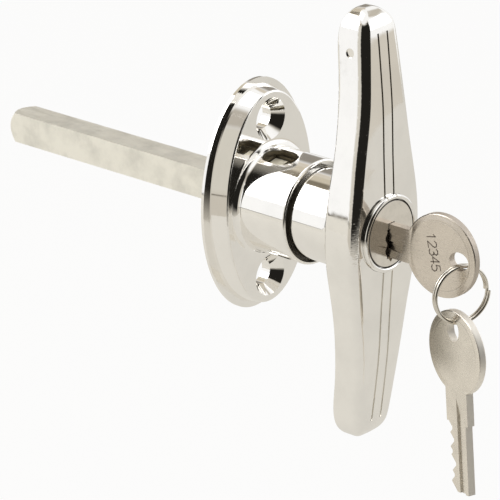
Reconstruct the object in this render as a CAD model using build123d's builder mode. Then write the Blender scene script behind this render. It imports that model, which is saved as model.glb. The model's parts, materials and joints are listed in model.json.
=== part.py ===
from build123d import *
import os
from math import atan, cos, degrees, radians, sin, sqrt, tan

# Keyed T-handle lock of a garage door. Origin: centre of the rosette's back face.
# +Y goes into the door, -Y to the user, +Z up. Sizes are millimetres.
# A depth is a distance in front of the mounting face.

# Fits
slide_gap = 0.15
turn_gap = 0.05
face_gap = 0.1
hang_gap = 0.08
cut_margin = 1.0

# Rosette
rosette_half_width = 19.7
rosette_half_height = 30.2
flange_thickness = 0.8
tier_side_inset = 2.3
tier_end_inset = 1.6
tier_height = 4.7
tier_side_draft = 1.45
tier_end_draft = 0.85
tier_edge_radius = 0.5
screw_spacing = 41.28
screw_hole_radius = 3.2
screw_sink_radius = 5.4
screw_straight_depth = 2.7
collar_radius = 13.4
collar_lip_depth = 21.4
collar_foot_radius = 1.8
collar_lip_radius = 0.5
collar_mouth_radius = 12.7
collar_mouth_depth = 1.2
recess_radius = 15.5
recess_depth = 3.0

# Keeper window in the collar and the blind keeper pockets a quarter turn away
window_angle = 12.5
window_depth = 11.0
window_length = 9.3
window_width = 6.4
window_rim_radius = 1.0
rim_angles = (0, 30, 55, 75, 90)
pocket_wall = 0.45

# Hub and grip
hub_radius = 11.7
hub_back_depth = 0.4
hub_flare_radius = 1.5
hub_flare_depth = 33.7
neck_ring_radius = 10.9
neck_ring_overhang = 0.6
grip_half_length = 55.6
grip_tip_radius = 6.6
grip_tip_depth = 34.5
grip_back_radius = 1.0
grip_front_radius = 2.4
groove_offset = 1.7
groove_width = 0.55
groove_cut = 0.5
groove_end_height = 50.0
mark_radius = 1.2
mark_depth = 36.2
mark_height = 45.5
mark_cut = 0.25

# Grip sections: share of the arm up to the tip's dome, half width, depths of back, front corner, crown
grip_sections = (
    (0.0, 12.9, 33.5, 43.1, 43.5),
    (0.165, 12.3, 33.55, 43.0, 43.4),
    (0.41, 10.35, 34.0, 42.4, 42.8),
    (0.655, 8.35, 33.4, 41.9, 42.3),
    (0.86, 7.3, 32.4, 40.9, 41.3),
    (1.0, grip_tip_radius, 31.7, 40.1, 40.5),
)
dome_angles = (30, 54, 73, 86)

# Shaft and its pin
shaft_size = 7.94
shaft_reach = 83.4
shaft_point_radius = 3.0
socket_depth = 11.3
pin_radius = 1.5
pin_depth = 5.5

# Washer and retaining ring behind the collar
washer_thickness = 1.0
washer_rim_gap = 0.3
ring_thickness = 0.9
ring_radius = 14.0
ring_groove_radius = 10.9
ring_mouth_angle = 70

# Lock cylinder
chamber_radius = 7.5
shell_radius = 8.2
shell_bore_radius = 6.4
bezel_radius = 9.8
bezel_height = 2.9
bezel_rise = 0.25
plug_face_depth = 44.15
plug_head_radius = 8.5
plug_head_thickness = 2.0
plug_back_depth = 19.3
plug_tail_length = 1.7
clip_thickness = 0.6
clip_radius = 7.1
clip_groove_radius = 5.6
notch_drop = 1.3
tang_length = 1.1
tang_width = 6.0
tang_thickness = 2.4

# Plate tumblers
wafer_count = 5
wafer_front_gap = 3.65
wafer_pitch_share = 0.17
wafer_thickness = 0.7
wafer_width = 5.0
wafer_radius = 6.1
wafer_arm_reach = 4.6
wafer_arm_top = 1.8
wafer_arm_height = 1.2
spring_radius = 0.6
spring_bore_radius = 0.25
spring_offset = 3.7
spring_foot_height = -4.3
tumbler_groove_radius = 7.3

# Drive cam and locking bolt
cam_radius = 5.6
cam_thickness = 1.8
crank_radius = 0.8
bolt_travel = 1.7
bolt_width = 4.6
bolt_head_back = 7.8
bolt_head_length = 3.9
bolt_top = 11.0
bolt_bottom = 6.6
bolt_bar_top = 9.0
bolt_foot = -2.6
bolt_foot_thickness = 1.7
bolt_corner_radius = 0.8

# Keys
key_thickness = 2.0
bow_radius = 10.5
bow_distance = 17.8
bow_edge_radius = 0.3
neck_height = 8.6
shoulder_sink = 2.1
blade_length = 17.7
blade_height = 6.8
blade_tip = 2.3
key_height = -1.5
key_hole_distance = 23.4
key_hole_length = 5.7
key_hole_width = 4.6
mill_width = 2.3
mill_cut = 0.5
mill_height = -1.1
mill_reach = 6.4
mill_runout = 4.4
cut_depths = (1.3, 2.1, 0.9, 1.7, 1.2)
cut_flat = 0.6

# Split ring and the spare key's hang
coil_radius = 7.1
coil_wire_radius = 0.42
coil_pitch = 0.95
coil_heading = 67.0
ring_swing = 45
spare_shift = 1.3
spare_lean = 6.9
spare_heading = -16.7

# Values worked out from the sizes above
rosette_thickness = flange_thickness + tier_height
bore_radius = hub_radius + turn_gap
neck_ring_back = collar_lip_depth - collar_mouth_depth
neck_ring_front = collar_lip_depth + neck_ring_overhang
pocket_radius = collar_radius - pocket_wall
crank_offset = bolt_travel / sqrt(2)
cam_back_depth = plug_back_depth - cam_thickness
bolt_foot_back = cam_back_depth - 2 * slide_gap - bolt_foot_thickness
chamber_floor_depth = bolt_foot_back - 2 * slide_gap
shell_back_depth = plug_back_depth + plug_tail_length
keyway_height = blade_height + 2 * slide_gap
keyway_width = key_thickness + 2 * slide_gap
bezel_front_depth = plug_face_depth + bezel_rise
bezel_back_depth = bezel_front_depth - bezel_height
bore_front_depth = max(bezel_front_depth, grip_sections[0][4]) + cut_margin
mouth_floor_depth = plug_face_depth - shoulder_sink
mouth_height = neck_height + 2 * slide_gap
shoulder_depth = mouth_floor_depth + face_gap
keyway_end_depth = shoulder_depth - blade_length - 3 * slide_gap
wafer_pitch = wafer_pitch_share * blade_length
wafer_back_depth = plug_face_depth - wafer_front_gap - (wafer_count - 1) * wafer_pitch
wafer_depths = [wafer_back_depth + step * wafer_pitch for step in range(wafer_count)]
mark_floor = (grip_sections[-2][1] + grip_sections[-1][1]) / 2 - mark_cut
dome_start = grip_half_length - grip_tip_radius

os.makedirs("parts", exist_ok=True)

# Planes: fronts faces the user, side runs forward along x with height as y,
# radial faces the user with x along the collar's rim and y out through the window.
fronts = Plane.XZ
side = Plane(origin=(0, 0, 0), x_dir=(0, -1, 0), z_dir=(-1, 0, 0))
window_x = cos(radians(window_angle))
window_z = sin(radians(window_angle))
radial = Plane(origin=(0, 0, 0), x_dir=(window_x, 0, window_z), z_dir=(0, -1, 0))
window_face = Plane(origin=(0, -window_depth, 0), x_dir=(0, -1, 0), z_dir=(-window_z, 0, window_x))


def save(builder, name):
    """Label a finished piece and write it under its name."""
    builder.part.label = name
    export_step(builder.part, f"parts/{name}.step")


def grip_stations():
    """Heights and sizes of the grip's sections on one arm, with the elliptic dome of the tip."""
    rows = [(share * dome_start, *sizes, 1.0) for share, *sizes in grip_sections]
    width, back, flank, crown = grip_sections[-1][1:]
    for angle in dome_angles:
        shrink = cos(radians(angle))
        height = dome_start + grip_tip_radius * sin(radians(angle))
        depths = [grip_tip_depth + (depth - grip_tip_depth) * shrink for depth in (back, flank, crown)]
        rows.append((height, width * shrink, *depths, shrink))
    return rows


# Rosette: flange, raised tier and collar, bored for the hub and sunk for two screws
with BuildPart() as rosette:
    with BuildSketch(fronts):
        Ellipse(rosette_half_width, rosette_half_height)
    extrude(amount=flange_thickness)
    with BuildSketch(fronts.offset(flange_thickness)):
        Ellipse(rosette_half_width - tier_side_inset, rosette_half_height - tier_end_inset)
    with BuildSketch(fronts.offset(rosette_thickness)):
        Ellipse(
            rosette_half_width - tier_side_inset - tier_side_draft,
            rosette_half_height - tier_end_inset - tier_end_draft,
        )
    loft(ruled=True)
    fillet(rosette.faces().sort_by(Axis.Y)[0].edges(), tier_edge_radius)
    with BuildSketch(fronts):
        Circle(collar_radius)
    extrude(amount=collar_lip_depth)
    collar_circles = rosette.edges().filter_by(GeomType.CIRCLE).sort_by(Axis.Y)
    fillet(collar_circles[0], collar_lip_radius)
    foot = rosette.edges().filter_by(GeomType.CIRCLE).filter_by(
        lambda edge: abs(edge.center().Y + rosette_thickness) < 0.01
    )
    fillet(foot, collar_foot_radius)
    with BuildSketch(side):
        with BuildLine():
            Polyline(
                (-cut_margin, 0),
                (-cut_margin, recess_radius),
                (recess_depth, recess_radius),
                (recess_depth, bore_radius),
                (collar_lip_depth - collar_mouth_depth, bore_radius),
                (collar_lip_depth - collar_mouth_depth, collar_mouth_radius),
                (collar_lip_depth + cut_margin, collar_mouth_radius),
                (collar_lip_depth + cut_margin, 0),
                close=True,
            )
        make_face()
    revolve(axis=Axis.Y, mode=Mode.SUBTRACT)
    sink_rise = rosette_thickness - screw_straight_depth
    sink_angle = 2 * degrees(atan((screw_sink_radius - screw_hole_radius) / sink_rise))
    with Locations(fronts.offset(rosette_thickness)):
        with GridLocations(screw_spacing, screw_spacing, 1, 2):
            CounterSinkHole(
                screw_hole_radius,
                screw_sink_radius,
                depth=rosette_thickness + cut_margin,
                counter_sink_angle=sink_angle,
            )
    with BuildSketch(window_face):
        SlotOverall(window_length, window_width)
    extrude(amount=collar_radius + collar_foot_radius + cut_margin, mode=Mode.SUBTRACT)
    # The window's edge is rounded over in steps
    for angle in rim_angles:
        rise = window_rim_radius * sin(radians(angle))
        growth = window_rim_radius * (1 - cos(radians(angle)))
        with BuildSketch(window_face.offset(collar_radius - window_rim_radius + rise)):
            SlotOverall(window_length + 2 * growth, window_width + 2 * growth)
    loft(ruled=True, mode=Mode.SUBTRACT)
    # Blind pockets a quarter turn to each side, where the bolt also holds the handle
    with BuildSketch(radial.offset(bolt_head_back - 2 * slide_gap)):
        Rectangle(2 * pocket_radius, bolt_width + 4 * slide_gap)
    extrude(amount=bolt_head_length + 4 * slide_gap, mode=Mode.SUBTRACT)
save(rosette, "rosette")


# T-handle: the hub is turned first, then joined to the lofted grip and bored out
with BuildPart() as hub_blank:
    flare_mid = hub_flare_radius * (1 - sin(radians(45)))
    with BuildSketch(side):
        with BuildLine():
            flare_start = hub_flare_depth - hub_flare_radius
            Polyline(
                (flare_start, hub_radius),
                (neck_ring_front, hub_radius),
                (neck_ring_front, neck_ring_radius),
                (neck_ring_back, neck_ring_radius),
                (neck_ring_back, hub_radius),
                (hub_back_depth, hub_radius),
                (hub_back_depth, 0),
            )
            blank_front = hub_flare_depth + cut_margin
            Polyline((hub_back_depth, 0), (blank_front, 0), (blank_front, hub_radius + hub_flare_radius))
            Line(
                (blank_front, hub_radius + hub_flare_radius),
                (hub_flare_depth, hub_radius + hub_flare_radius),
            )
            ThreePointArc(
                (hub_flare_depth, hub_radius + hub_flare_radius),
                (hub_flare_depth - flare_mid, hub_radius + flare_mid),
                (flare_start, hub_radius),
            )
        make_face()
    revolve(axis=Axis.Y)
    with BuildSketch(fronts):
        Rectangle(2 * hub_radius, 4 * hub_radius)
    extrude(amount=hub_flare_depth + 2 * cut_margin, mode=Mode.INTERSECT)

with BuildPart() as t_handle:
    arm = grip_stations()
    mirrored = [(-height, *sizes) for height, *sizes in reversed(arm[1:])]
    for height, half_width, back, flank, crown, shrink in mirrored + arm:
        with BuildSketch(Plane.XY.offset(height)) as section:
            with BuildLine():
                Line((-half_width, -back), (-half_width, -flank))
                ThreePointArc((-half_width, -flank), (0, -crown), (half_width, -flank))
                Line((half_width, -flank), (half_width, -back))
                Line((half_width, -back), (-half_width, -back))
            make_face()
            fillet(section.vertices().sort_by(Axis.Y)[-2:], grip_back_radius * shrink)
            fillet(section.vertices().sort_by(Axis.Y)[:2], grip_front_radius * shrink)
    loft()
    add(hub_blank.part)
    # Chamber, cylinder bore and bezel seat
    with BuildSketch(side):
        with BuildLine():
            Polyline(
                (chamber_floor_depth, 0),
                (chamber_floor_depth, chamber_radius),
                (shell_back_depth, chamber_radius),
                (shell_back_depth, shell_radius + turn_gap),
                (bezel_back_depth, shell_radius + turn_gap),
                (bezel_back_depth, bezel_radius + turn_gap),
                (bore_front_depth, bezel_radius + turn_gap),
                (bore_front_depth, 0),
                close=True,
            )
        make_face()
    revolve(axis=Axis.Y, mode=Mode.SUBTRACT)
    # Socket for the shaft, with the cross hole for its pin
    with BuildSketch(fronts):
        Rectangle(shaft_size + 2 * turn_gap, shaft_size + 2 * turn_gap)
    extrude(amount=socket_depth, mode=Mode.SUBTRACT)
    with BuildSketch(side):
        with Locations((pin_depth, 0)):
            Circle(pin_radius)
    extrude(amount=hub_radius + cut_margin, both=True, mode=Mode.SUBTRACT)
    # Slot for the locking bolt
    slot_floor = bolt_bottom - 2 * slide_gap
    slot_top = hub_radius + cut_margin
    slot_length = cam_back_depth - bolt_head_back + 2 * slide_gap
    with BuildSketch(radial.offset(bolt_head_back - 2 * slide_gap)):
        with Locations((0, (slot_floor + slot_top) / 2)):
            Rectangle(bolt_width + 2 * slide_gap, slot_top - slot_floor)
    extrude(amount=slot_length, mode=Mode.SUBTRACT)
    # Groove for the retaining ring
    ring_front_depth = recess_depth - washer_thickness - 2 * face_gap
    with BuildSketch(side):
        with BuildLine():
            groove_back = ring_front_depth - ring_thickness
            Polyline(
                (groove_back, ring_groove_radius),
                (groove_back, hub_radius + cut_margin),
                (ring_front_depth, hub_radius + cut_margin),
                (ring_front_depth, ring_groove_radius),
                close=True,
            )
        make_face()
    revolve(axis=Axis.Y, mode=Mode.SUBTRACT)
    # Small round mark on one flank near the tip
    with BuildSketch(side.offset(mark_floor)):
        with Locations((mark_depth, mark_height)):
            Circle(mark_radius)
    extrude(amount=cut_margin, mode=Mode.SUBTRACT)
    # Two fine grooves down the front of each arm
    crown_line = [(row[4], row[0]) for row in arm if row[0] <= dome_start]
    groove_end = (crown_line[-1][0], groove_end_height)
    for offset in (-groove_offset, groove_offset):
        for sign in (-1, 1):
            with BuildSketch(side.offset(-offset - groove_width / 2)):
                with BuildLine():
                    floor_line = Spline(
                        *[(depth - groove_cut, sign * height) for depth, height in crown_line],
                        (groove_end[0] - groove_cut, sign * groove_end[1]),
                    )
                    Line(floor_line @ 1, (bore_front_depth, sign * groove_end_height))
                    Line((bore_front_depth, sign * groove_end_height), (bore_front_depth, 0))
                    Line((bore_front_depth, 0), floor_line @ 0)
                make_face()
            extrude(amount=groove_width, mode=Mode.SUBTRACT)
save(t_handle, "t_handle")


# Cylinder shell: a sleeve with the rounded bezel, broached for the tumblers
with BuildPart() as cylinder_shell:
    head_bore = plug_head_radius + face_gap
    head_seat = plug_face_depth - plug_head_thickness - face_gap
    with BuildSketch(side) as shell_profile:
        with BuildLine():
            Polyline(
                (shell_back_depth, shell_bore_radius),
                (shell_back_depth, shell_radius),
                (bezel_back_depth, shell_radius),
                (bezel_back_depth, bezel_radius),
                (bezel_front_depth, bezel_radius),
                (bezel_front_depth, head_bore),
                (head_seat, head_bore),
                (head_seat, shell_bore_radius),
                close=True,
            )
        make_face()
        crest_radius = 0.45 * (bezel_radius - head_bore)
        fillet(shell_profile.vertices().sort_by(Axis.X)[-2:], crest_radius)
    revolve(axis=Axis.Y)
    groove_start = wafer_depths[0] - wafer_thickness - slide_gap
    with BuildSketch(fronts.offset(groove_start)):
        with PolarLocations(0, 4):
            with Locations((tumbler_groove_radius / 2, 0)):
                Rectangle(tumbler_groove_radius, wafer_width + 2 * slide_gap)
    extrude(amount=head_seat - groove_start, mode=Mode.SUBTRACT)
save(cylinder_shell, "cylinder_shell")


# Lock plug: head, body with keyway and tumbler slots, and the tang that drives the cam
with BuildPart() as lock_plug:
    plug_radius = shell_bore_radius - turn_gap
    clip_front = shell_back_depth - slide_gap
    clip_back = clip_front - clip_thickness
    with BuildSketch(side) as plug_profile:
        with BuildLine():
            Polyline(
                (plug_back_depth, 0),
                (plug_back_depth, plug_radius),
                (clip_back, plug_radius),
                (clip_back, clip_groove_radius),
                (clip_front, clip_groove_radius),
                (clip_front, plug_radius),
                (plug_face_depth - plug_head_thickness, plug_radius),
                (plug_face_depth - plug_head_thickness, plug_head_radius),
                (plug_face_depth, plug_head_radius),
                (plug_face_depth, 0),
                close=True,
            )
        make_face()
        chamfer(plug_profile.vertices().sort_by(Axis.X).sort_by(Axis.Y)[-1:], 0.3)
    revolve(axis=Axis.Y)
    with BuildSketch(fronts.offset(plug_back_depth - tang_length)):
        Rectangle(tang_width, tang_thickness)
    extrude(amount=tang_length, mode=Mode.ADD)
    with BuildSketch(fronts.offset(keyway_end_depth)):
        with Locations((0, key_height)):
            Rectangle(keyway_width, keyway_height)
    extrude(amount=plug_face_depth - keyway_end_depth, mode=Mode.SUBTRACT)
    # The keyway's mouth takes the key's shoulder and has a small V below it
    mouth_bottom = key_height - mouth_height / 2
    with BuildSketch(fronts.offset(mouth_floor_depth)):
        with Locations((0, key_height)):
            Rectangle(keyway_width, mouth_height)
    extrude(amount=shoulder_sink, mode=Mode.SUBTRACT)
    with BuildSketch(fronts.offset(plug_face_depth - plug_head_thickness / 2)):
        with BuildLine():
            Polyline(
                (-keyway_width / 2, mouth_bottom),
                (0, mouth_bottom - notch_drop),
                (keyway_width / 2, mouth_bottom),
                close=True,
            )
        make_face()
    extrude(amount=plug_head_thickness / 2, mode=Mode.SUBTRACT)
    for depth in wafer_depths:
        slot_back = depth - wafer_thickness / 2 - slide_gap / 2
        with BuildSketch(fronts.offset(slot_back)):
            Rectangle(wafer_width + slide_gap, 2 * plug_radius + cut_margin)
            arm_top = wafer_arm_top + slide_gap
            arm_reach = wafer_arm_reach + slide_gap
            with Locations((arm_reach / 2, (arm_top + spring_foot_height) / 2)):
                Rectangle(arm_reach, arm_top - spring_foot_height)
        extrude(amount=wafer_thickness + slide_gap, mode=Mode.SUBTRACT)
        with BuildSketch(Plane.XY.offset(spring_foot_height)):
            with Locations((spring_offset, -depth)):
                Circle(spring_radius + turn_gap)
        extrude(amount=wafer_arm_top - wafer_arm_height - spring_foot_height, mode=Mode.SUBTRACT)
save(lock_plug, "lock_plug")


# Wafers, shown lifted flush by the key, and the spring under each one's arm
for number, depth in enumerate(wafer_depths, start=1):
    with BuildPart() as wafer:
        with BuildSketch(fronts.offset(depth - wafer_thickness / 2)):
            Rectangle(wafer_width, 2 * wafer_radius)
            Circle(wafer_radius, mode=Mode.INTERSECT)
            with Locations((wafer_arm_reach / 2, wafer_arm_top - wafer_arm_height / 2)):
                Rectangle(wafer_arm_reach, wafer_arm_height)
            with Locations((0, key_height)):
                Rectangle(keyway_width, keyway_height, mode=Mode.SUBTRACT)
        extrude(amount=wafer_thickness)
    save(wafer, f"wafer_{number}")

    with BuildPart() as wafer_spring:
        with BuildSketch(Plane.XY.offset(spring_foot_height)):
            with Locations((spring_offset, -depth)):
                Circle(spring_radius)
                Circle(spring_bore_radius, mode=Mode.SUBTRACT)
        extrude(amount=wafer_arm_top - wafer_arm_height - spring_foot_height)
    save(wafer_spring, f"wafer_spring_{number}")


# Clip: an open ring that snaps into the plug's groove behind the shell
with BuildPart() as plug_clip:
    with BuildSketch(fronts.offset(clip_back)):
        Circle(clip_radius)
        Circle(clip_groove_radius, mode=Mode.SUBTRACT)
        with Locations((0, -clip_radius)):
            Rectangle(clip_groove_radius, clip_radius, mode=Mode.SUBTRACT)
    extrude(amount=clip_thickness)
save(plug_clip, "plug_clip")


# Drive cam: a disc on the plug's tang with the crank pin that shifts the bolt
crank_heading = radians(window_angle - 45)
with BuildPart() as drive_cam:
    with BuildSketch(fronts.offset(cam_back_depth)):
        Circle(cam_radius)
    extrude(amount=cam_thickness)
    with BuildSketch(fronts.offset(plug_back_depth - tang_length)):
        Rectangle(tang_width, tang_thickness)
    extrude(amount=tang_length, mode=Mode.SUBTRACT)
    crank_length = cam_back_depth - chamber_floor_depth - 2 * slide_gap
    with BuildSketch(fronts.offset(cam_back_depth - crank_length)):
        with Locations((crank_offset * cos(crank_heading), crank_offset * sin(crank_heading))):
            Circle(crank_radius)
    extrude(amount=crank_length)
save(drive_cam, "drive_cam")


# Locking bolt: the head under the window, a bar, and a foot whose notch holds the crank pin
with BuildPart() as locking_bolt:
    with BuildSketch(radial.offset(bolt_head_back)) as bolt_head:
        with Locations((0, (bolt_top + bolt_bottom) / 2)):
            Rectangle(bolt_width, bolt_top - bolt_bottom)
        fillet(bolt_head.vertices().sort_by(Axis.Y)[-2:], bolt_corner_radius)
    extrude(amount=bolt_head_length)
    with BuildSketch(radial.offset(bolt_head_back)):
        with Locations((0, (bolt_bar_top + bolt_bottom) / 2)):
            Rectangle(bolt_width, bolt_bar_top - bolt_bottom)
    extrude(amount=bolt_foot_back + bolt_foot_thickness - bolt_head_back)
    with BuildSketch(radial.offset(bolt_foot_back)):
        with Locations((0, (bolt_bar_top + bolt_foot) / 2)):
            Rectangle(bolt_width, bolt_bar_top - bolt_foot)
        notch_half = crank_radius + 0.8 * slide_gap
        crank_rest = bolt_travel / 2
        with Locations((crank_rest, -crank_rest)):
            Circle(notch_half, mode=Mode.SUBTRACT)
        with Locations((crank_rest + bolt_width / 2, -crank_rest)):
            Rectangle(bolt_width, 2 * notch_half, mode=Mode.SUBTRACT)
    extrude(amount=bolt_foot_thickness)
save(locking_bolt, "locking_bolt")


# Square shaft and its cross pin
with BuildPart() as square_shaft:
    with BuildSketch(fronts.offset(-shaft_reach)):
        Rectangle(shaft_size, shaft_size)
    extrude(amount=shaft_reach + socket_depth)
    # The far end is turned to a cone
    with BuildSketch(side):
        with BuildLine():
            Polyline(
                (-shaft_reach - cut_margin, shaft_point_radius),
                (-shaft_reach, shaft_point_radius),
                (-shaft_reach + shaft_size - shaft_point_radius, shaft_size),
                (-shaft_reach - cut_margin, shaft_size),
                close=True,
            )
        make_face()
    revolve(axis=Axis.Y, mode=Mode.SUBTRACT)
    with BuildSketch(side):
        with Locations((pin_depth, 0)):
            Circle(pin_radius)
    extrude(amount=shaft_size, both=True, mode=Mode.SUBTRACT)
save(square_shaft, "square_shaft")

with BuildPart() as shaft_pin:
    with BuildSketch(side):
        with Locations((pin_depth, 0)):
            Circle(pin_radius)
            Circle(pin_radius / 2, mode=Mode.SUBTRACT)
    extrude(amount=hub_radius - pin_radius / 2, both=True)
save(shaft_pin, "shaft_pin")


# Thrust washer on the recess floor, and the open ring that holds the hub against it
with BuildPart() as thrust_washer:
    with BuildSketch(fronts.offset(recess_depth - washer_thickness)):
        Circle(recess_radius - washer_rim_gap)
        Circle(bore_radius + washer_rim_gap, mode=Mode.SUBTRACT)
    extrude(amount=washer_thickness)
save(thrust_washer, "thrust_washer")

with BuildPart() as retaining_ring:
    with BuildSketch(fronts.offset(groove_back)):
        Circle(ring_radius)
        Circle(ring_groove_radius, mode=Mode.SUBTRACT)
        mouth_half = 1.5 * ring_radius * sin(radians(ring_mouth_angle / 2))
        with BuildLine():
            Polyline(
                (0, 0), (-mouth_half, -1.5 * ring_radius), (mouth_half, -1.5 * ring_radius), close=True
            )
        make_face(mode=Mode.SUBTRACT)
    extrude(amount=ring_thickness)
save(retaining_ring, "retaining_ring")


def make_key(plane, name):
    """Flat key: x runs from the shoulder to the bow, y up from the cuts. The blade lies at minus x."""
    bow_z = key_thickness / 2
    with BuildPart() as key:
        with BuildSketch(plane.offset(-bow_z)) as outline:
            with Locations((bow_distance, 0)):
                Circle(bow_radius)
            with Locations((bow_distance / 2, 0)):
                Rectangle(bow_distance, neck_height)
            with Locations((-blade_length / 2, 0)):
                Rectangle(blade_length, blade_height)
            with BuildLine():
                Polyline(
                    (-blade_length, -blade_height / 2),
                    (-blade_length + blade_tip, -blade_height / 2),
                    (-blade_length, -blade_height / 2 + blade_tip),
                    close=True,
                )
            make_face(mode=Mode.SUBTRACT)
            for depth, cut in zip(wafer_depths, cut_depths):
                station = depth - shoulder_depth
                floor = -blade_height / 2 + cut
                with BuildLine():
                    Polyline(
                        (station - cut_flat / 2, floor),
                        (station + cut_flat / 2, floor),
                        (station + cut_flat / 2 + cut, floor - cut),
                        (station - cut_flat / 2 - cut, floor - cut),
                        close=True,
                    )
                make_face(mode=Mode.SUBTRACT)
        extrude(amount=key_thickness)
        rims = key.faces().filter_by(lambda face: abs(face.normal_at().dot(plane.z_dir)) > 0.99)
        fillet(rims.edges().filter_by(GeomType.CIRCLE), bow_edge_radius)
        with BuildSketch(plane.offset(-bow_z)):
            with Locations((key_hole_distance, 0)):
                Ellipse(key_hole_length / 2, key_hole_width / 2)
        extrude(amount=key_thickness, mode=Mode.SUBTRACT)
        # A milled groove along each side of the blade, run out into the neck
        for sign in (-1, 1):
            edge = plane.origin + plane.y_dir * (sign * mill_height - mill_width / 2)
            above = -sign * (bow_z + cut_margin)
            with BuildSketch(Plane(origin=edge, x_dir=plane.x_dir, z_dir=plane.y_dir)):
                with BuildLine():
                    Polyline(
                        (-blade_length - cut_margin, above),
                        (-blade_length - cut_margin, -sign * (bow_z - mill_cut)),
                        (mill_reach - mill_runout, -sign * (bow_z - mill_cut)),
                        (mill_reach, -sign * bow_z),
                        (mill_reach, above),
                        close=True,
                    )
                make_face()
            extrude(amount=mill_width, mode=Mode.SUBTRACT)
    save(key, name)


make_key(Plane(origin=(0, -shoulder_depth, key_height), x_dir=(0, -1, 0), z_dir=(-1, 0, 0)), "key")


def hole_edge(half_height, half_width, spread):
    """Distance from a key hole's centre to its edge, above a pair of wires spread to each side."""
    return half_height * sqrt(1 - (spread / half_width) ** 2)


# Split ring: two turns of wire that hang in the key's hole and clear its edge when they swing
heading = radians(coil_heading)
ring_along = Vector(sin(heading), -cos(heading), 0)
ring_axis = ring_along.cross(Vector(0, 0, 1))
wire_spread = (coil_pitch * sin(heading) + key_thickness / tan(heading)) / 2
hang_drop = coil_wire_radius + coil_pitch / 2 * sin(radians(ring_swing)) + hang_gap
ring_top = Vector(
    0,
    -shoulder_depth - key_hole_distance,
    key_height - hole_edge(key_hole_width / 2, key_hole_length / 2, wire_spread) + hang_drop,
)
ring_centre = ring_top - Vector(0, 0, coil_radius)
hang_height = sqrt(coil_radius**2 - spare_shift**2)
ring_low = Vector(0, 0, -hang_height) - ring_along * spare_shift
ring_bottom = ring_centre + ring_low + ring_axis * coil_pitch / 2
with BuildPart() as split_ring:
    with BuildLine() as coil:
        Helix(
            pitch=coil_pitch,
            height=2 * coil_pitch,
            radius=coil_radius,
            center=ring_centre + ring_axis * coil_pitch * 1.25,
            direction=-ring_axis,
        )
    with BuildSketch(coil.line ^ 0):
        Circle(coil_wire_radius)
    sweep(is_frenet=True)
print("ring hangs at", ring_top, "spare key hangs at", ring_bottom, "hinge axis", -ring_along)
save(split_ring, "split_ring")
print("gap between the ring's turns:", round(coil_pitch - 2 * coil_wire_radius, 2))

# The spare key hangs from the bottom of the ring by its hole
turn = radians(spare_heading)
lean = radians(spare_lean)
ahead = Vector(sin(turn), -cos(turn), 0)
upward = Vector(0, 0, 1) * cos(lean) - ahead * sin(lean)
outward = ahead * cos(lean) + Vector(0, 0, 1) * sin(lean)
hole_reach = hole_edge(key_hole_length / 2, key_hole_width / 2, wire_spread)
spare_origin = ring_bottom - upward * (key_hole_distance + hole_reach - hang_drop)
make_key(Plane(origin=spare_origin, x_dir=upward, z_dir=upward.cross(outward)), "spare_key")
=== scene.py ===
import json
from math import cos, pi, radians, sin

import bmesh
import bpy
from mathutils import Matrix, Vector


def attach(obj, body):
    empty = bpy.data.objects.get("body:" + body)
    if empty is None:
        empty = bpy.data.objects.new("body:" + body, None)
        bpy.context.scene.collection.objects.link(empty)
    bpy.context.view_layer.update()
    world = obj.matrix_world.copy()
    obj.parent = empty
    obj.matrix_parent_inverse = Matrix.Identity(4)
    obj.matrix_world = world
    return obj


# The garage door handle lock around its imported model: camera, studio, finishes and the stamped number.
# The studio is in metres, and places on the lock are in millimetres. +Y goes into the door, +Z up.

MM = 0.001
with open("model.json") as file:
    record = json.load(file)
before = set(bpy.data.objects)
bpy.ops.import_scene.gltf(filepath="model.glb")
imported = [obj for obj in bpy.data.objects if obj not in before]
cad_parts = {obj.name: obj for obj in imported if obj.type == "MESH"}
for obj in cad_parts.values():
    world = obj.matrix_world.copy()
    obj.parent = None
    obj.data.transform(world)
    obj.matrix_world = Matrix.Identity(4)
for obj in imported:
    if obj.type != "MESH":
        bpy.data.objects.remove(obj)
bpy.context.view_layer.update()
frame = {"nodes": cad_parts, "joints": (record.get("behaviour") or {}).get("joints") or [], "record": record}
nodes = frame["nodes"]

# Camera, fitted to the photograph
VIEW_AZIMUTH = radians(-48.7314)
VIEW_ELEVATION = radians(20.9663)
VIEW_ROLL = radians(0.1044)
VIEW_DISTANCE = 0.78015
VIEW_TARGET = Vector((-0.00449, -0.0027, -0.01346))
VIEW_LENS = 224.526
SENSOR = 36.0
CLIP_START = 0.01
CLIP_END = 20.0

# Floor and walls
FLOOR_DROP = 0.25
FLOOR_RADIUS = 1.25
FLOOR_SIDES = 96
FLOOR_PLACE = (0.566, 0.492)
FLOOR_TINT = (0.55, 0.522, 0.458, 1.0)
FLOOR_MOTTLE = (0.50, 0.475, 0.415, 1.0)
FLOOR_MOTTLE_SHARE = 0.06
ROOM_TINT = (0.98, 0.98, 0.97, 1.0)
WHITE = (1.0, 1.0, 1.0, 1.0)

# Shares of plain white in the floor, as the camera sees it and as the metal mirrors it
SEEN_GLOW = 0.93
MIRRORED_GLOW = 0.3

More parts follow.
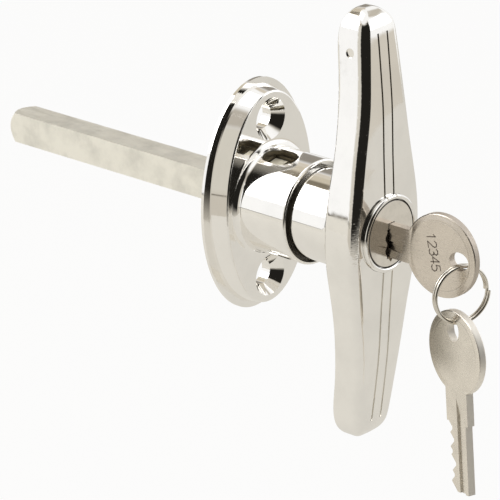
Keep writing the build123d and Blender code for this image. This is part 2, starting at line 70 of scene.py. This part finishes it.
# Panels of the room round the lock: azimuth from, to and softness, elevation from, to and softness, colour.
# Azimuth 0 lies ahead of the lock (-Y) and 90 to its right (+X). A later panel covers an earlier one.
PANELS = (
    # Ground past the floor's edge, and a greyer stretch of it ahead on the right
    (-190, 190, 1, -100, -10.6, 0.5, (0.78, 0.75, 0.68)),
    (28, 66, 6, -100, -5, 2, (0.63, 0.59, 0.52)),
    # Grey wall on the left, darker at its top and foot
    (-112, -80, 5, -100, 38, 3, (0.66, 0.63, 0.56)),
    (-128, -80, 5, 38, 60, 4, (0.50, 0.46, 0.40)),
    (-114, -80, 5, -30, -10, 4, (0.58, 0.54, 0.47)),
    # Dark side where the camera stands, with a grey border
    (-84, 31, 4, -100, 58, 6, (0.58, 0.55, 0.49)),
    (-79, 31, 4, -20, 52, 8, (0.015, 0.014, 0.012)),
    # Panels on the right and behind the lock
    (66, 96, 5, 36, 46, 3, (0.55, 0.51, 0.44)),
    (116, 150, 5, 2, 37, 6, (0.30, 0.275, 0.24)),
    (116, 150, 5, 39, 50, 2, (0.66, 0.60, 0.51)),
    # Brownish band high behind the lock, with a thin dark line
    (148, 190, 5, 38, 57, 3, (0.60, 0.54, 0.43)),
    (-190, -162, 5, 40, 57, 3, (0.60, 0.54, 0.43)),
    (168, 190, 5, 51.5, 56, 1, (0.22, 0.19, 0.14)),
    (-190, -172, 5, 51.5, 56, 1, (0.22, 0.19, 0.14)),
    # Dark line along the ground on the left
    (-150, -90, 4, -11.0, -10.2, 0.3, (0.20, 0.18, 0.15)),
)

# Lamps: name, place, side and power in watts
LAMPS = (
    ("key_lamp", (-0.75, 1.07, 0.92), 1.2, 13.0),
    ("top_lamp", (0.0, 0.5, 1.6), 1.0, 5.0),
    ("fill_lamp", (1.25, -0.95, 0.65), 0.9, 3.0),
)
LAMP_AIM = Vector((0.0, -0.03, 0.0))

# Metals
CHROME = (0.96, 0.945, 0.915, 1.0)
PLUG_NICKEL = (0.84, 0.80, 0.735, 1.0)
KEY_NICKEL = (0.75, 0.685, 0.605, 1.0)
# Edge colours of the keys are painted: shade on the key in the lock, light on the hanging key
KEY_EDGE_SHADED = (0.62, 0.56, 0.49, 1.0)
SPARE_NICKEL = (0.86, 0.81, 0.73, 1.0)
SPARE_EDGE_LIT = (0.97, 0.93, 0.86, 1.0)
RING_NICKEL = (0.74, 0.70, 0.63, 1.0)
BRASS = (0.82, 0.64, 0.33, 1.0)
ZINC_PLATE = (0.95, 0.93, 0.85, 1.0)
SPRING_STEEL = (0.46, 0.45, 0.44, 1.0)
CAST_ZINC = (0.96, 0.91, 0.77, 1.0)

# Painted shade in grooves, gaps, the keyway, the scribed line and the number's strokes, and on one side of
# the hanging key's bow; darker walls of the keeper's window
GROOVE_SHADE = (0.16, 0.145, 0.115, 1.0)
WINDOW_WALL_TINT = (0.26, 0.23, 0.175, 1.0)
LINE_SHADE = (0.26, 0.235, 0.18, 1.0)
PLUG_SHADE = (0.035, 0.03, 0.025, 1.0)
SCRIBED_LINE_SHADE = (0.35, 0.32, 0.28, 1.0)
SIDE_SHADE_TINT = (0.34, 0.31, 0.26, 1.0)
STAMP_SHADE_DARK = (0.16, 0.13, 0.11, 1.0)
STAMP_SHADE_PALE = (0.26, 0.22, 0.18, 1.0)

# How much rougher than the clean metal these places are, and how far the painted shade in the hub's groove
# hides the metal
GROOVE_SHADE_ROUGHER = 0.35
WINDOW_WALL_ROUGHER = 0.35
LINE_SHADE_ROUGHER = 0.25
PLUG_SHADE_ROUGHER = 0.4
KEY_EDGE_ROUGHER = 0.30
SMEAR_ROUGHER = 0.08
SCRATCH_ROUGHER = 0.12
BLOTCH_ROUGHER = 0.08
GROOVE_SHADE_COVER = 0.9

# Levels of noise between which each kind of unevenness comes in
PATCHES = (0.35, 0.75)
BLOTCHES = (0.35, 0.8)
RUBBING = (0.3, 0.8)
GRAIN = (0.3, 0.7)
SCRATCHES = (0.25, 0.75)

# Scale of noise along the grain as a share of its scale across it
BRUSHED_STRETCH = 0.06
KEY_STRETCH = 0.10

# Edges of the marks on the finishes, each as the two places between which a mark fades. Depth runs from
# the door's face towards the user, and reach outwards from the shaft's axis.
GROOVE_SHADE_BACK = (18.9, 19.0)
GROOVE_SHADE_FRONT = (21.88, 21.98)
GROOVE_SHADE_REACH = (12.7, 12.8)
GROOVE_SHADE_TOP = (7.5, 12.5)
WINDOW_BACK = (5.0, 6.0)
WINDOW_FRONT = (16.0, 17.0)
WINDOW_FOOT = (7.0, 9.0)
WINDOW_REACH = (12.9, 13.1)
LINE_OFFSET = 1.7
LINE_SIDE = (0.272, 0.284)
LINE_FLOOR = (38.0, 38.5)
LINE_INNER_END = (9.0, 9.4)
LINE_OUTER_END = (49.9, 50.0)
LINE_SHADE_HEIGHTS = (-10.0, 15.0)
LINE_SHADE_SHARES = (0.16, 0.9)

# Painted shade of the keyway beside the key, whose left side waves as the wards do, and painted shade in the
# gap round the plug
KEYWAY_SHADE_LEFT = -1.85
KEYWAY_SHADE_RIGHT = (-0.95, -0.9)
KEYWAY_SHADE_FOOT = (-6.3, -6.0)
KEYWAY_SHADE_TOP = (1.2, 1.6)
KEYWAY_SHADE_FLOOR = (44.0, 44.1)
WARD_SWING = 0.35
WARD_RADIANS_PER_MM = 1.9
PLUG_GAP_REACH = (8.16, 8.28)
PLUG_GAP_FLOOR = (43.4, 43.6)
PLUG_GAP_SHADE_SHARE = 0.9

# Key frames: origin at the shoulder, along towards the bow, across away from the cuts. The hanging key's
# shoulder is its drop below the place where the ring holds it.
SHOULDER_DEPTH = 42.15
KEY_HEIGHT = -1.5
KEY_HALF = 1.0
BOW_DISTANCE = 17.8
SPARE_HEADING = radians(-16.7)
SPARE_LEAN = radians(6.9)
SPARE_DROP = 25.21

# Marks on a key, along and across from the middle of its bow
RIM_REACH = (8.7, 10.4)
RIM_DROP = 0.13
SCRIBED_INNER = (8.5, 8.75)
SCRIBED_OUTER = (8.75, 9.0)
SCRIBED_NECK = (-6.0, 5.0)
SCRIBED_DEPTH = 0.03
SCRIBED_SHADE_SHARE = 0.35
BOW_START = (-9.5, -8.5)
SIDE_SHADE_ACROSS = (-8.0, 4.0)
SIDE_SHADE_ALONG = (-8.0, -1.0)
KEY_GRAIN_DEPTH = 0.004

# A key's surface turns from edge to flat between these cosines of its angle to the flats
EDGE_FACING = (0.3, 0.8)

# Stamped number: middle of its first digit and its reading direction, along and across the key
STAMP_TEXT = "12345"
STAMP_START = (14.9, 4.3)
STAMP_READING = (0.22, -0.975)
DIGIT_HEIGHT = 2.6
DIGIT_PITCH = 1.95
STROKE_HALF = 0.14
STROKE_TOP = 0.014
STROKE_FOOT = -0.046
CAP_STEPS = 8

# Strokes of the digits, in shares of their height, and the middle of a digit
DIGIT_MIDDLE = (0.3, 0.5)
DIGITS = {
    "1": [(0.12, 0.8), (0.32, 1.0), (0.32, 0.0)],
    "2": [(0.0, 0.8), (0.12, 0.96), (0.32, 1.0), (0.52, 0.93), (0.58, 0.74), (0.5, 0.55),
          (0.0, 0.0), (0.6, 0.0)],
    "3": [(0.0, 0.88), (0.18, 1.0), (0.44, 0.98), (0.57, 0.8), (0.5, 0.6), (0.28, 0.53),
          (0.52, 0.45), (0.6, 0.22), (0.44, 0.03), (0.16, 0.0), (0.0, 0.12)],
    "4": [(0.46, 0.0), (0.46, 1.0), (0.0, 0.3), (0.62, 0.3)],
    "5": [(0.56, 1.0), (0.1, 1.0), (0.05, 0.57), (0.3, 0.63), (0.54, 0.5), (0.6, 0.26),
          (0.44, 0.03), (0.16, 0.0), (0.0, 0.12)],
}


def add_object(name, data):
    """New object in the scene."""
    made = bpy.data.objects.new(name, data)
    bpy.context.scene.collection.objects.link(made)
    return made


def add_mesh(name, built):
    """New object in the scene that takes its mesh from a bmesh."""
    mesh = bpy.data.meshes.new(name)
    built.to_mesh(mesh)
    built.free()
    return add_object(name, mesh)


def make_camera():
    """Camera at the photograph's viewing angle."""
    data = bpy.data.cameras.new("camera")
    data.lens = VIEW_LENS
    data.sensor_width = SENSOR
    data.sensor_height = SENSOR
    data.sensor_fit = "HORIZONTAL"
    data.clip_start = CLIP_START
    data.clip_end = CLIP_END
    back = Vector((
        sin(VIEW_AZIMUTH) * cos(VIEW_ELEVATION),
        -cos(VIEW_AZIMUTH) * cos(VIEW_ELEVATION),
        sin(VIEW_ELEVATION),
    ))
    right = Vector((cos(VIEW_AZIMUTH), sin(VIEW_AZIMUTH), 0.0))
    up = back.cross(right)
    tilted_right = right * cos(VIEW_ROLL) + up * sin(VIEW_ROLL)
    tilted_up = up * cos(VIEW_ROLL) - right * sin(VIEW_ROLL)
    turn = Matrix((tilted_right, tilted_up, back)).transposed().to_4x4()
    camera = add_object("camera", data)
    camera.matrix_world = Matrix.Translation(VIEW_TARGET + back * VIEW_DISTANCE) @ turn
    bpy.context.scene.camera = camera


class Tree:
    """Node tree of a material or world, with short calls for the nodes that are used here."""

    def __init__(self, owner):
        owner.use_nodes = True
        self.tree = owner.node_tree
        self.tree.nodes.clear()

    def node(self, kind, inputs=None, **settings):
        """New node with its settings and inputs."""
        made = self.tree.nodes.new(kind)
        for key, value in settings.items():
            setattr(made, key, value)
        for key, value in (inputs or {}).items():
            self.feed(made, key, value)
        return made

    def feed(self, node, key, value):
        """Link a socket to an input, or set the input to a plain value."""
        socket = node.inputs[key]
        if isinstance(value, bpy.types.NodeSocket):
            self.tree.links.new(value, socket)
        else:
            socket.default_value = value

    def math(self, operation, *values):
        """Result of an operation on one or two values."""
        return self.node("ShaderNodeMath", dict(enumerate(values)), operation=operation).outputs[0]

    def product(self, first, *others):
        """All the values multiplied together."""
        for other in others:
            first = self.math("MULTIPLY", first, other)
        return first

    def hypotenuse(self, first, second):
        """Distance given by two coordinates at right angles."""
        squares = self.math("ADD", self.math("POWER", first, 2.0), self.math("POWER", second, 2.0))
        return self.math("SQRT", squares)

    def dot(self, first, second):
        """Dot product of two vectors."""
        made = self.node("ShaderNodeVectorMath", {0: first, 1: second}, operation="DOT_PRODUCT")
        return made.outputs["Value"]

    def rise(self, value, low, high, start=0.0, end=1.0):
        """Smooth change from start, where the value is low, to end, where it is high."""
        made = self.node(
            "ShaderNodeMapRange",
            {"Value": value, "From Min": low, "From Max": high, "To Min": start, "To Max": end},
            interpolation_type="SMOOTHSTEP",
        )
        return made.outputs["Result"]

    def fall(self, value, low, high, start=1.0):
        """Smooth change from start, where the value is low, to nothing, where it is high."""
        return self.rise(value, low, high, start, 0.0)

    def mix(self, share, first, second):
        """First colour, with a share of the second in its place."""
        made = self.node("ShaderNodeMix", data_type="RGBA")
        self.feed(made, 0, share)
        self.feed(made, 6, first)
        self.feed(made, 7, second)
        return made.outputs[2]

    def coordinates(self):
        """Place of a point in metres, which stays with the piece when it moves."""
        return self.node("ShaderNodeTexCoord").outputs["Object"]

    def places(self):
        """Place of a point in millimetres: to the right, towards the user and up."""
        metres = self.node("ShaderNodeSeparateXYZ", {0: self.coordinates()}).outputs
        x, y, z = (self.math("MULTIPLY", part, 1 / MM) for part in metres)
        return x, self.math("MULTIPLY", y, -1.0), z

    def noise(self, scale, detail, rough=0.5, stretch=None):
        """Noise over the piece, with its scale per metre."""
        vector = self.coordinates()
        if stretch is not None:
            vector = self.node("ShaderNodeMapping", {"Vector": vector, "Scale": stretch}).outputs[0]
        made = self.node(
            "ShaderNodeTexNoise",
            {"Vector": vector, "Scale": scale, "Detail": detail, "Roughness": rough},
        )
        return made.outputs["Fac"]

    def bump(self, height, strength, distance):
        """Normal of a surface raised by a height, whose unit is the distance in millimetres."""
        inputs = {"Height": height, "Strength": strength, "Distance": distance * MM}
        return self.node("ShaderNodeBump", inputs).outputs[0]

    def rays(self):
        """Whether the camera sees a point, straight or through glass, and whether metal mirrors it."""
        kinds = self.node("ShaderNodeLightPath").outputs
        direct = self.math("MAXIMUM", kinds["Is Camera Ray"], kinds["Is Transmission Ray"])
        return direct, kinds["Is Glossy Ray"]

    def metal(self, shade, gloss, normal, metallic=1.0):
        """Finish a material as metal."""
        shader = self.node(
            "ShaderNodeBsdfPrincipled",
            {"Base Color": shade, "Roughness": gloss, "Metallic": metallic, "Normal": normal},
        )
        self.node("ShaderNodeOutputMaterial", {"Surface": shader.outputs[0]})


def make_world():
    """Room round the lock: white walls, a dark side where the camera stands and a few greyer panels."""
    world = bpy.data.worlds.new("studio")
    bpy.context.scene.world = world
    t = Tree(world)
    direction = t.node("ShaderNodeTexCoord").outputs["Generated"]
    x, y, z = t.node("ShaderNodeSeparateXYZ", {0: direction}).outputs
    elevation = t.math("MULTIPLY", t.math("ARCSINE", z), 180.0 / pi)
    azimuth = t.math("MULTIPLY", t.math("ARCTAN2", x, t.math("MULTIPLY", y, -1.0)), 180.0 / pi)

    def zone(value, low, high, soft):
        """Whether an angle lies between two others, with soft ends."""
        return t.product(t.rise(value, low - soft, low + soft), t.fall(value, high - soft, high + soft))

    # Camera, mirror and glass rays meet the white backdrop; the panels stand before it, off camera
    direct, mirrored = t.rays()
    seen = t.mix(t.math("MAXIMUM", direct, mirrored), ROOM_TINT, WHITE)
    off_camera = t.math("SUBTRACT", 1.0, direct)
    for left, right, side_soft, bottom, top, soft, colour in PANELS:
        panel = t.product(zone(azimuth, left, right, side_soft), zone(elevation, bottom, top, soft))
        seen = t.mix(t.product(panel, off_camera), seen, (*colour, 1.0))
    background = t.node("ShaderNodeBackground", {"Color": seen, "Strength": 1.0})
    t.node("ShaderNodeOutputWorld", {"Surface": background.outputs[0]})


def make_floor():
    """Pale round floor well below the lock, which the camera sees almost white."""
    built = bmesh.new()
    bmesh.ops.create_circle(built, cap_ends=True, segments=FLOOR_SIDES, radius=FLOOR_RADIUS)
    floor = add_mesh("floor", built)
    floor.location = (*FLOOR_PLACE, -FLOOR_DROP)
    material, t = new_material("floor")
    mottle = t.noise(scale=6.0, detail=2.0)
    tint = t.mix(t.rise(mottle, *GRAIN, end=FLOOR_MOTTLE_SHARE), FLOOR_TINT, FLOOR_MOTTLE)
    matte = t.node("ShaderNodeBsdfDiffuse", {"Color": tint})
    glow = t.node("ShaderNodeEmission", {"Color": WHITE, "Strength": 1.0})
    direct, mirrored = t.rays()
    share = t.math("MAXIMUM", t.product(direct, SEEN_GLOW), t.product(mirrored, MIRRORED_GLOW))
    blend = t.node("ShaderNodeMixShader", {0: share, 1: matte.outputs[0], 2: glow.outputs[0]})
    t.node("ShaderNodeOutputMaterial", {"Surface": blend.outputs[0]})
    dress(floor, material)


def make_lamp(name, place, side, power):
    """Soft square lamp aimed at the lock."""
    data = bpy.data.lights.new(name, "AREA")
    data.shape = "SQUARE"
    data.size = side
    data.energy = power
    lamp = add_object(name, data)
    lamp.location = place
    lamp.rotation_euler = (LAMP_AIM - Vector(place)).to_track_quat("-Z", "Y").to_euler()


def new_material(name):
    """New material and its empty tree."""
    material = bpy.data.materials.new(name)
    return material, Tree(material)


def dress(piece, material):
    """Give a piece this one material."""
    piece.data.materials.clear()
    piece.data.materials.append(material)


def darker(tint, share):
    """A share of a colour's brightness."""
    return (*(channel * share for channel in tint[:3]), 1.0)


def plated(name, tint, rough, marks=None):
    """Bright plating: faint unevenness of the casting below it and a trace of smears in its gloss."""
    material, t = new_material(name)
    smears = t.noise(scale=90.0, detail=4.0, rough=0.6)
    shade = t.mix(t.rise(smears, *PATCHES), tint, darker(tint, 0.94))
    rub = t.noise(scale=260.0, detail=5.0, rough=0.65)
    gloss = t.rise(rub, *RUBBING, start=rough, end=rough + SMEAR_ROUGHER)
    plate = 1.0
    if marks is not None:
        shade, gloss, plate = marks(t, shade, gloss)
    ripple = t.noise(scale=120.0, detail=2.0, rough=0.4)
    t.metal(shade, gloss, t.bump(ripple, strength=0.02, distance=0.4), plate)
    return material


def grip_lines(t, x, depth, z):
    """Where the two fine grooves run down the front of each arm."""
    off = t.math("ABSOLUTE", t.math("SUBTRACT", t.math("ABSOLUTE", x), LINE_OFFSET))
    height = t.math("ABSOLUTE", z)
    return t.product(
        t.fall(off, *LINE_SIDE),
        t.rise(depth, *LINE_FLOOR),
        t.rise(height, *LINE_INNER_END),
        t.fall(height, *LINE_OUTER_END),
    )


def lock_marks(t, shade, gloss):
    """Painted shade in the groove round the hub and in the grip's grooves, and darker, rougher walls in the
    keeper's window.

    Gives the new colour and roughness, and how far the surface is metal.
    """
    x, depth, z = t.places()
    reach = t.hypotenuse(x, z)
    # Painted shade in the deep groove between the collar's lip and the hub, fading out towards the top
    groove_shade = t.product(
        t.rise(depth, *GROOVE_SHADE_BACK),
        t.fall(depth, *GROOVE_SHADE_FRONT),
        t.fall(reach, *GROOVE_SHADE_REACH),
        t.fall(z, *GROOVE_SHADE_TOP),
    )
    # Walls inside the keeper's window, darker and rougher
    window_walls = t.product(
        t.rise(depth, *WINDOW_BACK),
        t.fall(depth, *WINDOW_FRONT),
        t.rise(z, *WINDOW_FOOT),
        t.fall(reach, *WINDOW_REACH),
    )
    # Painted shade in the grip's grooves, stronger towards the top
    painted_shade = t.product(grip_lines(t, x, depth, z), t.rise(z, *LINE_SHADE_HEIGHTS, *LINE_SHADE_SHARES))
    marks = (
        (groove_shade, GROOVE_SHADE, GROOVE_SHADE_ROUGHER),
        (window_walls, WINDOW_WALL_TINT, WINDOW_WALL_ROUGHER),
        (painted_shade, LINE_SHADE, LINE_SHADE_ROUGHER),
    )
    for share, colour, rougher in marks:
        shade = t.mix(share, shade, colour)
        gloss = t.math("ADD", gloss, t.product(share, rougher))
    return shade, gloss, t.math("SUBTRACT", 1.0, t.product(groove_shade, GROOVE_SHADE_COVER))


def plug_metal(name, tint, rough):
    """Satin nickel of the plug, with painted shade of the keyway beside the key and painted shade in the gap
    round it.
    """
    material, t = new_material(name)
    x, depth, z = t.places()
    ward = t.product(t.math("SINE", t.product(z, WARD_RADIANS_PER_MM)), WARD_SWING)
    # Painted shade of the keyway slot beside the key, its left side waving as the wards do
    keyway_shade = t.product(
        t.math("GREATER_THAN", x, t.math("ADD", ward, KEYWAY_SHADE_LEFT)),
        t.fall(x, *KEYWAY_SHADE_RIGHT),
        t.rise(z, *KEYWAY_SHADE_FOOT),
        t.fall(z, *KEYWAY_SHADE_TOP),
        t.rise(depth, *KEYWAY_SHADE_FLOOR),
    )
    # Painted shade in the gap round the plug's face
    gap = t.product(
        t.rise(t.hypotenuse(x, z), *PLUG_GAP_REACH),
        t.rise(depth, *PLUG_GAP_FLOOR, end=PLUG_GAP_SHADE_SHARE),
    )
    painted_shade = t.math("MAXIMUM", keyway_shade, gap)
    rub = t.noise(scale=420.0, detail=4.0, rough=0.6)
    shade = t.mix(t.rise(rub, *PATCHES), tint, darker(tint, 0.92))
    shade = t.mix(painted_shade, shade, PLUG_SHADE)
    gloss = t.rise(rub, *RUBBING, start=rough, end=rough + SMEAR_ROUGHER)
    gloss = t.math("ADD", gloss, t.product(painted_shade, PLUG_SHADE_ROUGHER))
    t.metal(shade, gloss, t.bump(rub, strength=0.03, distance=0.2))
    return material


def brushed(name, tint, rough, grain_axis):
    """Satin metal with fine grain along one axis and darker blotches."""
    material, t = new_material(name)
    stretch = [1.0, 1.0, 1.0]
    stretch[grain_axis] = BRUSHED_STRETCH
    grain = t.noise(scale=2600.0, detail=3.0, rough=0.6, stretch=stretch)
    blotch = t.noise(scale=180.0, detail=4.0, rough=0.6)
    shade = t.mix(t.rise(blotch, *BLOTCHES), tint, darker(tint, 0.80))
    gloss = t.rise(grain, *SCRATCHES, start=rough, end=rough + SCRATCH_ROUGHER)
    gloss = t.math("ADD", gloss, t.product(blotch, BLOTCH_ROUGHER))
    height = t.math("ADD", grain, t.product(blotch, 0.5))
    t.metal(shade, gloss, t.bump(height, strength=0.2, distance=0.03))
    return material


def joint_place(name):
    """Place of a joint's axis in millimetres."""
    rows = {joint["name"]: joint for joint in frame["joints"]}
    return Vector(rows[name]["pos_m"]) / MM


def key_frame():
    """Origin and axes of the key in the lock."""
    return Vector((0.0, -SHOULDER_DEPTH, KEY_HEIGHT)), Vector((0.0, -1.0, 0.0)), Vector((0.0, 0.0, 1.0))


def spare_frame():
    """Origin and axes of the hanging key."""
    ahead = Vector((sin(SPARE_HEADING), -cos(SPARE_HEADING), 0.0))
    upright = Vector((0.0, 0.0, 1.0))
    along = upright * cos(SPARE_LEAN) - ahead * sin(SPARE_LEAN)
    across = ahead * cos(SPARE_LEAN) + upright * sin(SPARE_LEAN)
    return joint_place("spare_key_swing") - along * SPARE_DROP, along, across


def key_metal(name, frame_axes, tint, painted_edge_tint, rough, side_shade):
    """Satin nickel of a key: fine grain, rubbed patches and a coined rim with a scribed line inside it, with
    painted shade in that line and on one side of the bow, and edges whose colour is painted shade or painted
    light as each key is given.
    """
    origin, along, across = frame_axes
    material, t = new_material(name)
    start = t.node(
        "ShaderNodeVectorMath",
        {0: t.coordinates(), 1: origin * MM},
        operation="SUBTRACT",
    ).outputs[0]
    x = t.math("SUBTRACT", t.product(t.dot(start, along), 1 / MM), BOW_DISTANCE)
    y = t.product(t.dot(start, across), 1 / MM)
    reach = t.hypotenuse(x, y)
    bow = t.rise(x, *BOW_START)
    rim = t.rise(reach, *RIM_REACH, end=-RIM_DROP)
    scribed = t.product(
        t.rise(reach, *SCRIBED_INNER),
        t.fall(reach, *SCRIBED_OUTER),
        t.rise(x, *SCRIBED_NECK),
    )
    profile = t.product(t.math("ADD", rim, t.product(scribed, -SCRIBED_DEPTH)), bow)
    grain = t.noise(scale=2400.0, detail=3.0, rough=0.6, stretch=(1.0, KEY_STRETCH, 1.0))
    blotch = t.noise(scale=160.0, detail=4.0, rough=0.62)
    height = t.math("ADD", profile, t.product(grain, KEY_GRAIN_DEPTH))
    shade = t.mix(t.rise(blotch, *PATCHES), tint, darker(tint, 0.9))
    # Painted shade in the scribed line
    shade = t.mix(t.product(scribed, bow, SCRIBED_SHADE_SHARE), shade, SCRIBED_LINE_SHADE)
    # Painted shade: one side of the bow is darker
    shaded_side = t.product(t.fall(y, *SIDE_SHADE_ACROSS, start=side_shade), t.rise(x, *SIDE_SHADE_ALONG))
    shade = t.mix(shaded_side, shade, SIDE_SHADE_TINT)
    gloss = t.rise(grain, *GRAIN, start=rough, end=rough + SMEAR_ROUGHER)
    gloss = t.math("ADD", gloss, t.product(blotch, BLOTCH_ROUGHER))
    # The blanked edges are rougher than the flats; their colour is painted, shade on the key in the lock and
    # light on the hanging key
    outward = t.node(
        "ShaderNodeVectorTransform",
        {"Vector": t.node("ShaderNodeNewGeometry").outputs["True Normal"]},
        vector_type="NORMAL", convert_from="WORLD", convert_to="OBJECT",
    ).outputs[0]
    facing = t.math("ABSOLUTE", t.dot(outward, along.cross(across)))
    edge = t.fall(facing, *EDGE_FACING)
    shade = t.mix(edge, shade, painted_edge_tint)
    gloss = t.math("ADD", gloss, t.product(edge, KEY_EDGE_ROUGHER))
    t.metal(shade, gloss, t.bump(height, strength=1.0, distance=1.0))
    return material


def stamp_shade(name):
    """Darkened metal on the number's strokes, painted shade of the grooves that the stamping left."""
    material, t = new_material(name)
    shade_noise = t.noise(scale=1500.0, detail=3.0, rough=0.6)
    shade = t.mix(t.rise(shade_noise, *GRAIN), STAMP_SHADE_DARK, STAMP_SHADE_PALE)
    t.metal(shade, 0.55, t.bump(shade_noise, strength=0.3, distance=0.02), metallic=0.5)
    return material


def add_stroke(built, a, b, normal):
    """Flat stroke with round ends from one point of a key's flat to another."""
    run = (b - a).normalized()
    beside = normal.cross(run)
    rings = []
    for end, sign in ((a, -1.0), (b, 1.0)):
        ring = []
        for k in range(CAP_STEPS + 1):
            angle = pi * k / CAP_STEPS
            ring.append(end + (beside * cos(angle) + run * sign * sin(angle)) * STROKE_HALF)
        rings.append(ring)
    outline = rings[0] + rings[1][::-1]
    low = [built.verts.new((point + normal * STROKE_FOOT) * MM) for point in outline]
    high = [built.verts.new((point + normal * STROKE_TOP) * MM) for point in outline]
    built.faces.new(high)
    built.faces.new(low[::-1])
    for k in range(len(outline)):
        n = (k + 1) % len(outline)
        built.faces.new((low[k], low[n], high[n], high[k]))


def make_stamp(name, frame_axes):
    """Stamped digits on one flat of a key, as strokes let into its surface."""
    origin, along, across = frame_axes
    normal = along.cross(across)
    # Seen from outside the flat, reading and rise make a right-handed pair
    reading = (along * STAMP_READING[0] + across * STAMP_READING[1]).normalized()
    rise = normal.cross(reading)
    start = origin + normal * KEY_HALF + along * STAMP_START[0] + across * STAMP_START[1]
    built = bmesh.new()
    for index, digit in enumerate(STAMP_TEXT):
        middle = start + reading * (index * DIGIT_PITCH)
        points = [
            middle + (reading * (u - DIGIT_MIDDLE[0]) + rise * (v - DIGIT_MIDDLE[1])) * DIGIT_HEIGHT
            for u, v in DIGITS[digit]
        ]
        for first, second in zip(points, points[1:]):
            add_stroke(built, first, second, normal)
    bmesh.ops.recalc_face_normals(built, faces=built.faces)
    return add_mesh(name, built)


make_camera()
make_world()
make_floor()
for lamp_row in LAMPS:
    make_lamp(*lamp_row)
bpy.context.scene.view_settings.view_transform = "Standard"

finishes = {
    "chrome_plate": plated("chrome_plate", CHROME, 0.03, marks=lock_marks),
    "nickel_plate": plug_metal("nickel_plate", PLUG_NICKEL, 0.14),
    "key_nickel": key_metal("key_nickel", key_frame(), KEY_NICKEL, KEY_EDGE_SHADED, 0.17, side_shade=0.0),
    "ring_nickel": plated("ring_nickel", RING_NICKEL, 0.12),
    "wafer_brass": brushed("wafer_brass", BRASS, 0.30, grain_axis=2),
    "zinc_steel": brushed("zinc_steel", ZINC_PLATE, 0.34, grain_axis=1),
    "spring_steel": brushed("spring_steel", SPRING_STEEL, 0.35, grain_axis=1),
    "zinc_cast": brushed("zinc_cast", CAST_ZINC, 0.46, grain_axis=1),
}
slot_of = {row["node"]: row["material_slot"] for row in frame["record"]["subparts"]}
for name, piece in nodes.items():
    dress(piece, finishes[slot_of[name]])
# The hanging key has painted shade on one side of its bow and painted light on its edges
spare_metal = key_metal("spare_key_nickel", spare_frame(), SPARE_NICKEL, SPARE_EDGE_LIT, 0.17, side_shade=0.8)
dress(nodes["spare_key"], spare_metal)

stamp = make_stamp("key_stamp", key_frame())
dress(stamp, stamp_shade("stamp_painted_shade"))
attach(stamp, "key")
